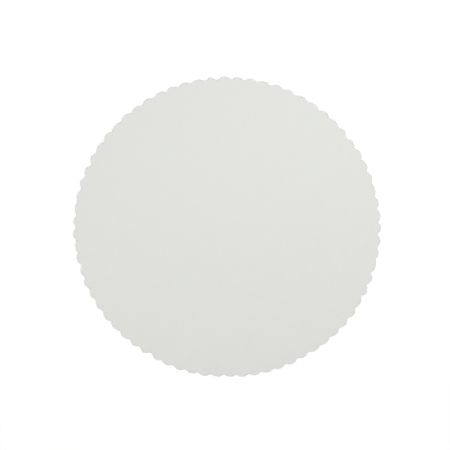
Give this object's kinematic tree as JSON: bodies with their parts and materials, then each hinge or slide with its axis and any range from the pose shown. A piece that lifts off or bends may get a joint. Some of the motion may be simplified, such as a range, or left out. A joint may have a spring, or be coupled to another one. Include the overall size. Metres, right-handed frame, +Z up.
{
  "type": "cake board",
  "caption": "Round flat cake board of thin solid paperboard with a small scalloped die-cut edge, plain off-white on both faces.",
  "frame": {"origin": "centre of the underside, on the surface that the board lies on", "axes": "+Z up, normal to the board and out of its face; +X through the crest of one scallop"},
  "size_m": [0.3, 0.3, 0.0015],
  "materials": {
    "white_board": "satin"
  },
  "bodies": {
    "root": {"board": "white_board"}
  },
  "joints": []
}
